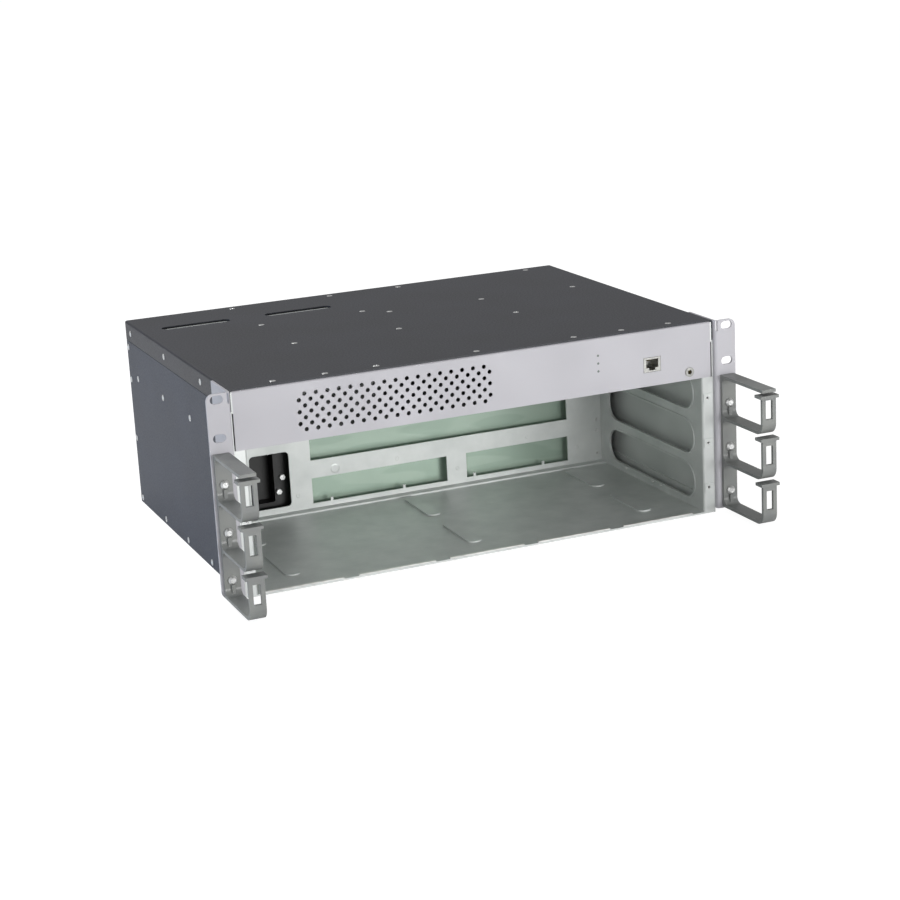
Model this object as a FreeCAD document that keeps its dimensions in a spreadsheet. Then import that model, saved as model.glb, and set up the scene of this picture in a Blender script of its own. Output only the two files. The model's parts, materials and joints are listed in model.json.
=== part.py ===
import FreeCAD, Part
import math
import os

import Sketcher

# Three-slot rack chassis of a modular switch: folded sheet-steel frame and
# covers, an open card cage with a backplane behind it, fan tray and two power
# supplies at the rear, and a moulded cable guide on each rack ear.
# X runs to the right seen from the front, -Y is the front, Z is up.
# The origin is the centre of the flat underside.

doc = FreeCAD.newDocument("switch_chassis")
sheet = doc.addObject("Spreadsheet::Sheet", "dims")


class Size:
    """A length that knows its value and the sheet expression behind it."""

    def __init__(self, value, text):
        self.value = value
        self.text = text

    def __add__(self, other):
        other = size(other)
        return Size(self.value + other.value, f"({self.text} + {other.text})")

    def __sub__(self, other):
        other = size(other)
        return Size(self.value - other.value, f"({self.text} - {other.text})")

    def __rsub__(self, other):
        return size(other) - self

    def __mul__(self, other):
        other = size(other)
        return Size(self.value * other.value, f"({self.text} * {other.text})")

    def __truediv__(self, other):
        other = size(other)
        return Size(self.value / other.value, f"({self.text} / {other.text})")

    def __neg__(self):
        return Size(-self.value, f"(-1 * {self.text})")

    __radd__ = __add__
    __rmul__ = __mul__


def size(number):
    """Take a Size as it is and wrap a plain number."""
    if isinstance(number, Size):
        return number
    return Size(float(number), repr(number) if number >= 0 else f"({number!r})")


def smaller(first, second):
    """The lesser of two sizes."""
    return Size(min(first.value, second.value), f"min({first.text}; {second.text})")


def cell(alias, value):
    """Write one driving dimension into the sheet and hand it back as a Size."""
    row = cell.rows = getattr(cell, "rows", 0) + 1
    sheet.set(f"A{row}", alias)
    sheet.set(f"B{row}", str(value))
    sheet.setAlias(f"B{row}", alias)
    return Size(float(value), f"dims.{alias}")


# ---------------------------------------------------------------- dimensions
# Overall body, four rack units high
body_width = cell("body_width", 442)
body_depth = cell("body_depth", 324)
body_height = cell("body_height", 176)
skin = cell("skin", 1.2)
frame_sheet = cell("frame_sheet", 1.5)
bend_radius = cell("bend_radius", 0.8)
seam_gap = cell("seam_gap", 0.4)

# Card cage, between side air ducts and below the upper chamber
side_duct = cell("side_duct", 11.5)
chamber_height = cell("chamber_height", 51)
cage_depth = cell("cage_depth", 200)
wall_flange = cell("wall_flange", 12)

# Air openings in the cage walls, one a slot
air_length = cell("air_length", 165)
air_bridge = cell("air_bridge", 9.9)
air_lift = cell("air_lift", 2.5)
air_setback = cell("air_setback", 16.5)
air_rim = cell("air_rim", 1.6)
air_rim_proud = cell("air_rim_proud", 0.8)
card_hole = cell("card_hole", 3.4)
card_hole_rise = cell("card_hole_rise", 22.6)
card_hole_inset = cell("card_hole_inset", 5.2)
jamb_patch = cell("jamb_patch", 8)
jamb_patch_proud = cell("jamb_patch_proud", 0.6)

# Floor ridges and the sprung gasket strips on the front edge of the floor
ridge_width = cell("ridge_width", 14)
ridge_length = cell("ridge_length", 64)
ridge_proud = cell("ridge_proud", 1.2)
ridge_setback = cell("ridge_setback", 30)
ridge_step = cell("ridge_step", 92)
strip_left = cell("strip_left", 6.2)
strip_right = cell("strip_right", 11.3)
strip_gap = cell("strip_gap", 13.5)
strip_depth = cell("strip_depth", 3)
strip_proud = cell("strip_proud", 1)
strip_inset = cell("strip_inset", 0.6)

# Cover
cover_flange = cell("cover_flange", 18)
cover_slot_length = cell("cover_slot_length", 65)
cover_slot_width = cell("cover_slot_width", 12.4)
cover_slot_setback = cell("cover_slot_setback", 58)

# Front panel
panel_return = cell("panel_return", 16)
vent_hole = cell("vent_hole", 3.8)
vent_step = cell("vent_step", 4.98)
vent_left = cell("vent_left", 58.4)
vent_rise = cell("vent_rise", 24.3)
light_hole = cell("light_hole", 2.2)
light_clearance = cell("light_clearance", 0.05)
light_from_right = cell("light_from_right", 112.4)
light_rise = cell("light_rise", 20.2)
light_pitch = cell("light_pitch", 6.9)
port_width = cell("port_width", 16.4)
port_height = cell("port_height", 12.8)
port_from_right = cell("port_from_right", 60.2)
port_rise = cell("port_rise", 12.6)
port_clearance = cell("port_clearance", 0.3)
wrist_hole = cell("wrist_hole", 7)
wrist_from_right = cell("wrist_from_right", 23.6)
wrist_rise = cell("wrist_rise", 7.2)

# Rack ears
ear_slot_out = cell("ear_slot_out", 11.55)
ear_edge = cell("ear_edge", 8.75)
ear_sheet = cell("ear_sheet", 2)
ear_step = cell("ear_step", 4.3)
ear_leg = cell("ear_leg", 42)
ear_foot = cell("ear_foot", 4)
ear_corner = cell("ear_corner", 6)
rack_pitch = cell("rack_pitch", 31.75)
rack_drop = cell("rack_drop", 5.4)
rack_slot_length = cell("rack_slot_length", 11)
rack_slot_width = cell("rack_slot_width", 7)
relief_length = cell("relief_length", 9)
relief_width = cell("relief_width", 1.6)

# Cable guides
guide_reach = cell("guide_reach", 70)
guide_width = cell("guide_width", 13.6)
guide_foot = cell("guide_foot", 5.5)
guide_base = cell("guide_base", 3.2)
guide_arm = cell("guide_arm", 2.6)
guide_bar = cell("guide_bar", 2.8)
guide_mouth = cell("guide_mouth", 2.4)
guide_bend = cell("guide_bend", 10)
guide_gusset = cell("guide_gusset", 6)
guide_head_width = cell("guide_head_width", 18)
guide_head_depth = cell("guide_head_depth", 9)
guide_head_height = cell("guide_head_height", 2.6)
guide_lip = cell("guide_lip", 1.4)
tie_slot_width = cell("tie_slot_width", 6.6)
tie_slot_length = cell("tie_slot_length", 17)
guide_screw_rise = cell("guide_screw_rise", 15.2)
guide_screw_hole = cell("guide_screw_hole", 4.4)
guide_screw_head = cell("guide_screw_head", 7.6)
guide_screw_dome = cell("guide_screw_dome", 2.8)
guide_screw_shank = cell("guide_screw_shank", 4)
guide_rib_width = cell("guide_rib_width", 3)
guide_rib_proud = cell("guide_rib_proud", 2.2)
guide_rib_length = cell("guide_rib_length", 9)

# Backplane
plate_foot = cell("plate_foot", 9)
window_bridge = cell("window_bridge", 16.9)
window_rise = cell("window_rise", 4.5)
window_left = cell("window_left", 119.4)
window_right = cell("window_right", 36.7)
window_bar = cell("window_bar", 20.2)
lug_width = cell("lug_width", 2.4)
lug_height = cell("lug_height", 3.4)
lug_left = cell("lug_left", 18.6)
lug_right = cell("lug_right", 26.8)
power_hole_width = cell("power_hole_width", 38)
power_hole_height = cell("power_hole_height", 52)
power_hole_left = cell("power_hole_left", 60.5)
power_hole_rise = cell("power_hole_rise", 9)
power_hole_corner = cell("power_hole_corner", 4)
terminal_depth = cell("terminal_depth", 26)
terminal_recess = cell("terminal_recess", 14)
terminal_margin = cell("terminal_margin", 3)
terminal_pillar = cell("terminal_pillar", 12)
bolt_head = cell("bolt_head", 5.5)
bolt_height = cell("bolt_height", 2.8)
board_gap = cell("board_gap", 9.5)
board_sheet = cell("board_sheet", 1.6)
board_left = cell("board_left", 101.5)
board_right = cell("board_right", 12)
board_edge = cell("board_edge", 3)
standoff_size = cell("standoff_size", 5)

# Rear compartment
fan_headroom = cell("fan_headroom", 1.7)
fan_depth = cell("fan_depth", 25.4)
fan_rim = cell("fan_rim", 2.5)
fan_hub = cell("fan_hub", 46)
fan_tip_gap = cell("fan_tip_gap", 1.2)
fan_screw_inset = cell("fan_screw_inset", 7.1)
fan_screw_hole = cell("fan_screw_hole", 4.3)
blade_lean = cell("blade_lean", 52)
fan_web = cell("fan_web", 3)
fan_strut = cell("fan_strut", 5)
fan_rotor_gap = cell("fan_rotor_gap", 1)
fan_shaft = cell("fan_shaft", 4)
fan_shaft_clearance = cell("fan_shaft_clearance", 0.05)
fan_shaft_recess = cell("fan_shaft_recess", 0.5)
blade_thickness = cell("blade_thickness", 2)
tray_side_gap = cell("tray_side_gap", 0.5)
tray_inset = cell("tray_inset", 6)
grille_bar = cell("grille_bar", 5)
grille_web = cell("grille_web", 22)
knob_size = cell("knob_size", 10)
knob_length = cell("knob_length", 9)

# Upper chamber
supply_width = cell("supply_width", 95)
supply_headroom = cell("supply_headroom", 6.3)
supply_depth = cell("supply_depth", 180)
bay_gap = cell("bay_gap", 4.2)
fold_under = cell("fold_under", 12)
supply_vent = cell("supply_vent", 5)
supply_vent_length = cell("supply_vent_length", 30)
inlet_width = cell("inlet_width", 28)
inlet_height = cell("inlet_height", 21)
inlet_depth = cell("inlet_depth", 18)
inlet_wall = cell("inlet_wall", 2)
inlet_margin = cell("inlet_margin", 8)
prong_recess = cell("prong_recess", 3)
prong_pitch = cell("prong_pitch", 7)
prong_offset = cell("prong_offset", 2)
prong_width = cell("prong_width", 4)
prong_sheet = cell("prong_sheet", 2)
handle_reach = cell("handle_reach", 24)
handle_height = cell("handle_height", 34)
handle_strip = cell("handle_strip", 3)
handle_width = cell("handle_width", 12)
handle_gap = cell("handle_gap", 2)
handle_bend = cell("handle_bend", 4)
crosswall_setback = cell("crosswall_setback", 208)
stud_size = cell("stud_size", 5)
stud_length = cell("stud_length", 11)
stud_nut = cell("stud_nut", 3.5)
stud_inset = cell("stud_inset", 30)
control_depth = cell("control_depth", 130)
control_left = cell("control_left", 34)
control_right = cell("control_right", 4)
control_setback = cell("control_setback", 2.2)
jack_depth = cell("jack_depth", 18)
jack_well = cell("jack_well", 13)
jack_mouth = cell("jack_mouth", 11.8)
jack_mouth_top = cell("jack_mouth_top", 11.2)
jack_shoulder = cell("jack_shoulder", 3.6)
jack_tab = cell("jack_tab", 6)
jack_sill = cell("jack_sill", 1.4)
pipe_width = cell("pipe_width", 4.8)
pipe_depth = cell("pipe_depth", 6)
pipe_head = cell("pipe_head", 3)
wrist_bore = cell("wrist_bore", 4)
wrist_collar = cell("wrist_collar", 0.8)
wrist_reach = cell("wrist_reach", 6)

# ---------------------------------------------------------- derived positions
SLOTS = 3
FANS = 3
STRIPS = 5
GRILLE_ROWS = 8
HOLE_FLATS = 10
WINDOW_SPLIT = 0.558
RIDGE_SPREAD = 0.4

half_width = body_width / 2
front = -body_depth / 2
rear = body_depth / 2
cage_width = body_width - side_duct * 2
cage_height = body_height - chamber_height
cage_half = cage_width / 2
frame_half = half_width - skin
floor_top = frame_sheet
ceiling_top = cage_height + frame_sheet
lid_under = body_height - skin
slot_pitch = (cage_height - floor_top) / SLOTS
air_height = slot_pitch - air_bridge
window_height = slot_pitch - window_bridge
window_width = cage_width - window_left - window_right
lug_pitch = (window_width - lug_left - lug_right) / SLOTS
ridge_pitch = cage_width * RIDGE_SPREAD
strip_pitch = (cage_width - strip_left - strip_right + strip_gap) / STRIPS
strip_length = strip_pitch - strip_gap
guide_pitch = (ceiling_top - guide_foot) / SLOTS
rack_half = half_width + ear_slot_out
ear_end = rack_half + ear_edge
ear_front = front - ear_step
plate_front = front + cage_depth
tray_half = cage_half - tray_inset
tray_floor = floor_top + frame_sheet
tray_top = cage_height - tray_side_gap
fan_pitch = tray_half * 2 / FANS
fan_size = smaller(tray_top - tray_floor - bend_radius, fan_pitch) - fan_headroom
fan_bore = fan_size - fan_rim * 2
grille_step = fan_size / (GRILLE_ROWS + 0.5)
grille_slot = grille_step - grille_bar
fan_z = tray_floor + bend_radius + fan_size / 2
supply_height = lid_under - ceiling_top - supply_headroom
bay_pitch = supply_width + bay_gap
ZERO = size(0)

pieces = []


# ------------------------------------------------------------------- helpers
def new_body(name):
    """Start a PartDesign body that is written out under its own name."""
    body = doc.addObject("PartDesign::Body", name)
    body.Label = name
    pieces.append(body)
    return body


def origin_part(body, role):
    """One of the body's own origin planes or axes."""
    return [f for f in body.Origin.OriginFeatures if f.Role == role][0]


def new_sketch(body, plane, offset, tag):
    """Attach a sketch to one of the body's own origin planes, moved by offset."""
    sketch = body.newObject("Sketcher::SketchObject", f"{body.Name}_{tag}")
    sketch.AttachmentSupport = [(origin_part(body, plane), "")]
    sketch.MapMode = "FlatFace"
    sketch.AttachmentOffset = FreeCAD.Placement(
        FreeCAD.Vector(0, 0, offset.value), FreeCAD.Rotation())
    sketch.setExpression("AttachmentOffset.Base.z", offset.text)
    return sketch


def plan(body, z, tag):
    """Sketch in plan: u is X, v is Y, and pads rise from height z."""
    return new_sketch(body, "XY_Plane", size(z), tag)


def elevation(body, y, tag):
    """Sketch seen from the front: u is X, v is Z, and pads grow forward from y."""
    return new_sketch(body, "XZ_Plane", -size(y), tag)


def profile(body, x, tag):
    """Sketch seen from the right: u is Y, v is Z, and pads grow to +X from x."""
    return new_sketch(body, "YZ_Plane", size(x), tag)


waiting = {}


def tie(sketch, kind, *places):
    """Note one geometric constraint of a sketch."""
    waiting.setdefault(sketch.Name, []).append((Sketcher.Constraint(kind, *places), None))


def bind(sketch, kind, places, length):
    """Note one dimension of a sketch and the sheet expression that drives it."""
    constraint = Sketcher.Constraint(kind, *places, length.value)
    waiting.setdefault(sketch.Name, []).append((constraint, length.text))


def settle(sketch):
    """Give a sketch all its noted constraints at once."""
    noted = waiting.pop(sketch.Name, [])
    sketch.addConstraint([constraint for constraint, text in noted])
    for index, (constraint, text) in enumerate(noted):
        if text is not None:
            sketch.setExpression(f"Constraints[{index}]", text)


def outline(sketch, corners):
    """Closed outline of level and upright edges; a corner may have a radius."""
    count = len(corners)
    points = [(size(u), size(v)) for u, v, *rest in corners]
    radii = [size(c[2]) if len(c) > 2 else None for c in corners]
    spots = [FreeCAD.Vector(u.value, v.value, 0) for u, v in points]
    starts = list(spots)
    ends = list(spots)
    for i in range(count):
        if radii[i] is None:
            continue
        to_last = (spots[i - 1] - spots[i]).normalize()
        to_next = (spots[(i + 1) % count] - spots[i]).normalize()
        ends[i] = spots[i] + to_last * radii[i].value
        starts[i] = spots[i] + to_next * radii[i].value
    lines = []
    for i in range(count):
        j = (i + 1) % count
        line = sketch.addGeometry(Part.LineSegment(starts[i], ends[j]), False)
        lines.append(line)
        if abs(spots[i].x - spots[j].x) < abs(spots[i].y - spots[j].y):
            tie(sketch, "Vertical", line)
            bind(sketch, "DistanceX", (-1, 1, line, 1), points[i][0])
        else:
            tie(sketch, "Horizontal", line)
            bind(sketch, "DistanceY", (-1, 1, line, 1), points[i][1])
    for i in range(count):
        before = lines[i - 1]
        after = lines[i]
        if radii[i] is None:
            tie(sketch, "Coincident", before, 2, after, 1)
            continue
        radius = radii[i].value
        to_last = (spots[i - 1] - spots[i]).normalize()
        to_next = (spots[(i + 1) % count] - spots[i]).normalize()
        centre = spots[i] + (to_last + to_next) * radius
        first = math.atan2(ends[i].y - centre.y, ends[i].x - centre.x)
        last = math.atan2(starts[i].y - centre.y, starts[i].x - centre.x)
        turns_left = to_last.x * to_next.y - to_last.y * to_next.x < 0
        low, high = (first, last) if turns_left else (last, first)
        if high < low:
            high += 2 * math.pi
        circle = Part.Circle(centre, FreeCAD.Vector(0, 0, 1), radius)
        arc = sketch.addGeometry(Part.ArcOfCircle(circle, low, high), False)
        at_first, at_last = (1, 2) if turns_left else (2, 1)
        tie(sketch, "Tangent", before, 2, arc, at_first)
        tie(sketch, "Tangent", arc, at_last, after, 1)
        bind(sketch, "Radius", (arc,), radii[i])


def rectangle(sketch, u0, u1, v0, v1, radius=None):
    """Rectangle between two edges each way, with rounded corners if asked."""
    corner = () if radius is None else (radius,)
    outline(sketch, [(u0, v0, *corner), (u1, v0, *corner),
                     (u1, v1, *corner), (u0, v1, *corner)])


def circle(sketch, u, v, diameter):
    """Round hole or boss."""
    u, v, diameter = size(u), size(v), size(diameter)
    centre = FreeCAD.Vector(u.value, v.value, 0)
    ring = sketch.addGeometry(
        Part.Circle(centre, FreeCAD.Vector(0, 0, 1), diameter.value / 2), False)
    bind(sketch, "DistanceX", (-1, 1, ring, 3), u)
    bind(sketch, "DistanceY", (-1, 1, ring, 3), v)
    bind(sketch, "Diameter", (ring,), diameter)


def oblong(sketch, u, v, length, width):
    """Round-ended slot along u, centred on (u, v), length over both ends."""
    u, v, length, width = size(u), size(v), size(length), size(width)
    radius = width / 2
    reach = length / 2 - radius
    left = FreeCAD.Vector(u.value - reach.value, v.value, 0)
    right = FreeCAD.Vector(u.value + reach.value, v.value, 0)
    lift = FreeCAD.Vector(0, radius.value, 0)
    up = FreeCAD.Vector(0, 0, 1)
    top = sketch.addGeometry(Part.LineSegment(right + lift, left + lift), False)
    end_left = sketch.addGeometry(Part.ArcOfCircle(
        Part.Circle(left, up, radius.value), math.pi / 2, 3 * math.pi / 2), False)
    bottom = sketch.addGeometry(Part.LineSegment(left - lift, right - lift), False)
    end_right = sketch.addGeometry(Part.ArcOfCircle(
        Part.Circle(right, up, radius.value), -math.pi / 2, math.pi / 2), False)
    tie(sketch, "Tangent", top, 2, end_left, 1)
    tie(sketch, "Tangent", end_left, 2, bottom, 1)
    tie(sketch, "Tangent", bottom, 2, end_right, 1)
    tie(sketch, "Tangent", end_right, 2, top, 1)
    bind(sketch, "DistanceX", (-1, 1, end_left, 3), u - reach)
    bind(sketch, "DistanceY", (-1, 1, end_left, 3), v)
    bind(sketch, "DistanceX", (-1, 1, end_right, 3), u + reach)
    bind(sketch, "DistanceY", (-1, 1, end_right, 3), v)
    bind(sketch, "Radius", (end_left,), radius)


def pad(body, sketch, length):
    """Thicken a sketch along its own normal."""
    settle(sketch)
    feature = body.newObject("PartDesign::Pad", sketch.Name + "_pad")
    feature.Profile = sketch
    feature.Length = length.value
    feature.setExpression("Length", length.text)
    return feature


def pocket(body, sketch, length):
    """Cut a sketch away, against its own normal."""
    settle(sketch)
    feature = body.newObject("PartDesign::Pocket", sketch.Name + "_cut")
    feature.Profile = sketch
    feature.Length = length.value
    feature.setExpression("Length", length.text)
    return feature


def punch(body, x, y, z, diameter, depth, tag):
    """Small round hole drawn with flats, from a face at y towards the rear."""
    hole = body.newObject("PartDesign::SubtractivePrism", f"{body.Name}_{tag}")
    hole.Polygon = HOLE_FLATS
    hole.Circumradius = diameter.value / 2
    hole.setExpression("Circumradius", (diameter / 2).text)
    hole.Height = depth.value
    hole.setExpression("Height", depth.text)
    hole.AttachmentSupport = [(origin_part(body, "XZ_Plane"), "")]
    hole.MapMode = "FlatFace"
    back = -(size(y) + depth)
    hole.AttachmentOffset = FreeCAD.Placement(
        FreeCAD.Vector(size(x).value, size(z).value, back.value), FreeCAD.Rotation())
    hole.setExpression("AttachmentOffset.Base.x", size(x).text)
    hole.setExpression("AttachmentOffset.Base.y", size(z).text)
    hole.setExpression("AttachmentOffset.Base.z", back.text)
    return hole


def repeat(body, features, step, count):
    """Repeat features along X, count times in all."""
    row = body.newObject("PartDesign::LinearPattern", features[0].Name + "_row")
    row.Originals = features
    row.Direction = (origin_part(body, "X_Axis"), [""])
    row.Length = step.value * (count - 1)
    row.setExpression("Length", (step * (count - 1)).text)
    row.Occurrences = count
    body.Tip = row
    return row


def group(name, solids):
    """Several identical pieces under one name, as separate solids."""
    item = doc.addObject("Part::Feature", name)
    item.Label = name
    item.Shape = Part.makeCompound(solids) if len(solids) > 1 else solids[0]
    pieces.append(item)
    return item


def ring(flats, radius, height):
    """Level closed wire with that many equal flats, its corners at the radius."""
    turns = [2 * math.pi * corner / flats for corner in range(flats)]
    spots = [FreeCAD.Vector(radius * math.cos(t), radius * math.sin(t), height) for t in turns]
    return Part.makePolygon(spots + spots[:1])


def turned(steps, spot, axis, flats=16):
    """Stack of (bottom radius, top radius, length) lengths with flats, set along an axis."""
    solid = None
    height = 0
    for bottom, top, length in steps:
        rings = [ring(flats, bottom, height), ring(flats, top, height + length)]
        part = Part.makeLoft(rings, True, True)
        solid = part if solid is None else solid.fuse(part)
        height += length
    turn = FreeCAD.Rotation(FreeCAD.Vector(0, 0, 1), FreeCAD.Vector(*axis))
    solid.Placement = FreeCAD.Placement(FreeCAD.Vector(*spot), turn)
    return solid


def slot_floor(number):
    """Height where card slot 0, 1 or 2 starts, counted from the bottom."""
    return floor_top + slot_pitch * number


# -------------------------------------------------------- covers and outer skin
def make_top_cover():
    body = new_body("top_cover")
    hem = body_height - cover_flange
    outer = bend_radius + skin
    section = elevation(body, rear, "section")
    outline(section, [
        (-half_width, hem), (-half_width + skin, hem),
        (-half_width + skin, lid_under, bend_radius), (half_width - skin, lid_under, bend_radius),
        (half_width - skin, hem), (half_width, hem),
        (half_width, body_height, outer), (-half_width, body_height, outer)])
    pad(body, section, body_depth)
    slots = plan(body, body_height, "cover_slots")
    for bay in (0, 1):
        oblong(slots, bay_centre(bay), rear - cover_slot_setback, cover_slot_length, cover_slot_width)
    pocket(body, slots, skin)


def bay_centre(bay):
    """Middle of power bay 0 (outer) or 1 (inner), from the left side skin."""
    return -frame_half + skin + bay_pitch * (bay + 0.5)


def make_side_panel(name, side):
    """Side skin; its upper strip steps in so that the cover lies flush over it."""
    body = new_body(name)
    step = body_height - cover_flange - seam_gap
    strip_top = lid_under - bend_radius
    section = elevation(body, rear, "section")
    outline(section, [
        ((half_width - skin) * side, ZERO), (half_width * side, ZERO),
        (half_width * side, step), ((half_width - skin) * side, step),
        ((half_width - skin) * side, strip_top), ((half_width - skin * 2) * side, strip_top),
        ((half_width - skin * 2) * side, step - skin), ((half_width - skin) * side, step - skin)])
    pad(body, section, body_depth)


def make_base_tray():
    body = new_body("base_tray")
    inner = frame_half - frame_sheet
    outer = bend_radius + frame_sheet
    section = elevation(body, rear, "section")
    outline(section, [
        (-frame_half, ZERO, outer), (frame_half, ZERO, outer),
        (frame_half, wall_flange), (inner, wall_flange),
        (inner, floor_top, bend_radius), (-inner, floor_top, bend_radius),
        (-inner, wall_flange), (-frame_half, wall_flange)])
    pad(body, section, body_depth)
    for end, name in ((front, "front_notch"), (rear - frame_sheet, "rear_notch")):
        notch = elevation(body, end, name)
        rectangle(notch, -frame_half, frame_half, floor_top, wall_flange)
        pocket(body, notch, frame_sheet)
    ridges = plan(body, floor_top, "ridges")
    for row in (0, 1):
        start = front + ridge_setback + ridge_step * row
        rectangle(ridges, -ridge_pitch - ridge_width / 2, -ridge_pitch + ridge_width / 2,
                  start, start + ridge_length, ridge_width * 0.49)
    raised = pad(body, ridges, ridge_proud)
    repeat(body, [raised], ridge_pitch, 3)


def make_gasket_strips():
    """Sprung contact strips that a card's panel lands on, along the floor's edge."""
    solids = []
    for number in range(STRIPS):
        left = strip_left - cage_half + strip_pitch * number
        block = Part.makeBox(strip_length.value, strip_depth.value, strip_proud.value)
        block.translate(FreeCAD.Vector(
            left.value, (front + strip_inset).value, floor_top.value))
        solids.append(block)
    group("floor_gasket_strips", solids)


# ------------------------------------------------------------- card cage frame
def make_cage_wall(name, side):
    """Cage wall with a front jamb and one long air opening a slot."""
    body = new_body(name)
    outside = cage_half + frame_sheet
    jamb_end = frame_half
    outer = bend_radius + frame_sheet
    back = rear - frame_sheet
    section = plan(body, floor_top, "section")
    outline(section, [
        (cage_half * side, front, outer), (jamb_end * side, front),
        (jamb_end * side, front + frame_sheet), (outside * side, front + frame_sheet, bend_radius),
        (outside * side, back), (cage_half * side, back)])
    pad(body, section, cage_height - floor_top)
    rims = profile(body, cage_half - air_rim_proud if side > 0 else -cage_half, "rims")
    air_middle = front + air_setback + air_length / 2
    for number in range(SLOTS):
        oblong(rims, air_middle, air_z(number), air_length + air_rim * 2, air_height + air_rim * 2)
    pad(body, rims, air_rim_proud)
    cut_depth = frame_sheet + air_rim_proud
    openings = profile(body, outside if side > 0 else -cage_half + air_rim_proud, "openings")
    for number in range(SLOTS):
        oblong(openings, air_middle, air_z(number), air_length, air_height)
    pocket(body, openings, cut_depth)
    middle = (cage_half + card_hole_inset) * side
    patches = elevation(body, front, "patches")
    for number in range(SLOTS):
        level = slot_floor(number) + card_hole_rise
        rectangle(patches, middle - jamb_patch / 2, middle + jamb_patch / 2,
                  level - jamb_patch / 2, level + jamb_patch / 2)
    pad(body, patches, jamb_patch_proud)
    holes = elevation(body, front - jamb_patch_proud, "card_holes")
    for number in range(SLOTS):
        circle(holes, middle, slot_floor(number) + card_hole_rise, card_hole)
    pocket(body, holes, frame_sheet + jamb_patch_proud)


def air_z(number):
    """Middle height of the air opening of card slot 0, 1 or 2."""
    return slot_floor(number) + slot_pitch / 2 + air_lift


def make_cage_ceiling():
    """Shelf between the card cage and the upper chamber, flanged to both sides."""
    body = new_body("cage_ceiling")
    hem = ceiling_top - wall_flange
    inner = frame_half - frame_sheet
    outer = bend_radius + frame_sheet
    section = elevation(body, rear - frame_sheet, "section")
    outline(section, [
        (-frame_half, hem), (-inner, hem),
        (-inner, cage_height, bend_radius), (inner, cage_height, bend_radius),
        (inner, hem), (frame_half, hem),
        (frame_half, ceiling_top, outer), (-frame_half, ceiling_top, outer)])
    pad(body, section, body_depth - frame_sheet * 2)


def make_front_panel():
    """Band above the card slots, folded back under the cover along its top."""
    body = new_body("front_panel")
    width = (half_width - skin * 2) * 2
    outer = bend_radius + skin
    section = profile(body, -width / 2, "section")
    outline(section, [
        (front, cage_height), (front + skin, cage_height),
        (front + skin, lid_under - skin, bend_radius), (front + panel_return, lid_under - skin),
        (front + panel_return, lid_under), (front, lid_under, outer)])
    pad(body, section, width)
    vent_start = -half_width + vent_left
    vent_middle = cage_height + vent_rise
    for first, rows, count in ((0, (-1, 0, 1), 18), (1, (-1.5, -0.5, 0.5, 1.5), 17)):
        column = []
        for row in rows:
            column.append(punch(
                body, vent_start + vent_step * first, front, vent_middle + vent_step * 2 * row,
                vent_hole, skin, f"vent{len(rows)}_{len(column)}"))
        repeat(body, column, vent_step * 2, count)
    fittings = elevation(body, front, "fittings")
    for number in range(3):
        circle(fittings, light_x(), light_z(number), light_hole)
    rectangle(fittings, port_x() - port_width / 2 - port_clearance,
              port_x() + port_width / 2 + port_clearance,
              port_z() - port_clearance, port_z() + port_height + port_clearance)
    circle(fittings, wrist_x(), wrist_z(), wrist_hole)
    pocket(body, fittings, skin)


def light_x():
    return half_width - light_from_right


def light_z(number):
    return cage_height + light_rise + light_pitch * number


def port_x():
    return half_width - port_from_right


def port_z():
    return cage_height + port_rise


def wrist_x():
    return half_width - wrist_from_right


def wrist_z():
    return cage_height + wrist_rise


def make_ear(name, side):
    """Rack ear: an angle whose leg lies on the side skin."""
    body = new_body(name)
    end = ear_end
    outer = bend_radius + ear_sheet
    section = plan(body, ear_foot, "section")
    outline(section, [
        (half_width * side, ear_front, outer), (end * side, ear_front),
        (end * side, ear_front + ear_sheet),
        ((half_width + ear_sheet) * side, ear_front + ear_sheet, bend_radius),
        ((half_width + ear_sheet) * side, front + ear_leg), (half_width * side, front + ear_leg)])
    angle = pad(body, section, body_height - seam_gap - ear_foot)
    doc.recompute()
    corners = []
    for index, edge in enumerate(angle.Shape.Edges, start=1):
        ends = [v.Point for v in edge.Vertexes]
        if len(ends) == 2 and all(abs(abs(p.x) - end.value) < 0.01 for p in ends):
            if abs(ends[0].z - ends[1].z) < 0.01:
                corners.append(f"Edge{index}")
    rounding = body.newObject("PartDesign::Fillet", name + "_corners")
    rounding.Base = (angle, corners)
    rounding.Radius = ear_corner.value
    rounding.setExpression("Radius", ear_corner.text)
    slots = elevation(body, ear_front, "slots")
    top_slot = body_height - rack_drop
    for number in (0, 1):
        oblong(slots, rack_half * side, top_slot - rack_pitch * number,
               rack_slot_length, rack_slot_width)
    middle = half_width + ear_sheet
    rectangle(slots, middle * side - relief_width / 2, middle * side + relief_width / 2,
              top_slot - relief_length / 2, top_slot + relief_length / 2)
    pocket(body, slots, ear_step + frame_sheet)


# -------------------------------------------------------------- cable guides
def guide_arm_z(number):
    """Underside of arm 0 to 2; arm 3 is the top one and ends the moulding."""
    return guide_foot + guide_pitch * number


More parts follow.
